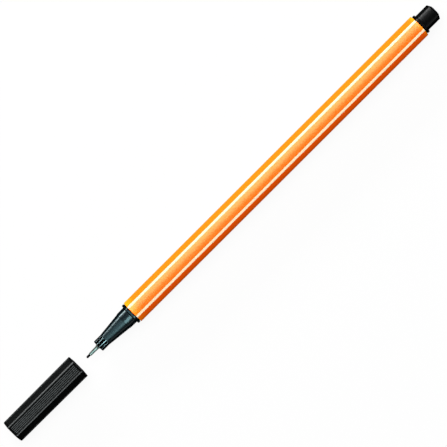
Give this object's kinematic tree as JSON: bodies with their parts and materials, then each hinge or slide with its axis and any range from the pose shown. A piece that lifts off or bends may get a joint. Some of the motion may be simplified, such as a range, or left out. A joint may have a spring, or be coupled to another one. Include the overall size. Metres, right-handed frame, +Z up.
{
  "type": "fineliner pen",
  "caption": "Hexagonal fineliner pen with white stripes on its edges, a stub at the rear, a steel-sleeved fibre nib on a fluted nose, and a hexagonal push-on cap drawn off.",
  "frame": {"origin": "on the surface the pen lies on, under the middle of the pen and its drawn-off cap", "axes": "+X along the pen from its rear stub to its nib and on to the cap, +Z up out of one flat of the barrel"},
  "size_m": [0.1914, 0.0086, 0.0076],
  "materials": {
    "barrel_orange": "smooth moulded plastic",
    "stripe_white": "smooth plastic run in with the barrel",
    "plug_black": "satin moulded plastic",
    "section_blue_black": "polished moulded plastic",
    "ferrule_steel": "drawn and polished",
    "nib_fibre": "fibre soaked with ink",
    "reservoir_fibre": "bonded fibre",
    "reservoir_film": "thin film",
    "cap_black": "satin moulded plastic with finely ribbed panels",
    "seal_grey": "soft moulded plastic"
  },
  "bodies": {
    "pen": {"barrel": "barrel_orange", "edge_stripe_1": "stripe_white", "edge_stripe_2": "stripe_white", "edge_stripe_3": "stripe_white", "edge_stripe_4": "stripe_white", "end_plug": "plug_black", "front_section": "section_blue_black", "tip_ferrule": "ferrule_steel", "nib": "nib_fibre", "ink_reservoir": "reservoir_fibre", "reservoir_wrap": "reservoir_film"},
    "cap": {"cap_shell": "cap_black", "cap_inner_seal": "seal_grey"}
  },
  "joints": [
    {"name": "cap_slide", "type": "slide", "parent": "pen", "child": "cap", "axis": [-1, 0, 0], "range_m": [0, 0.0233]}
  ]
}
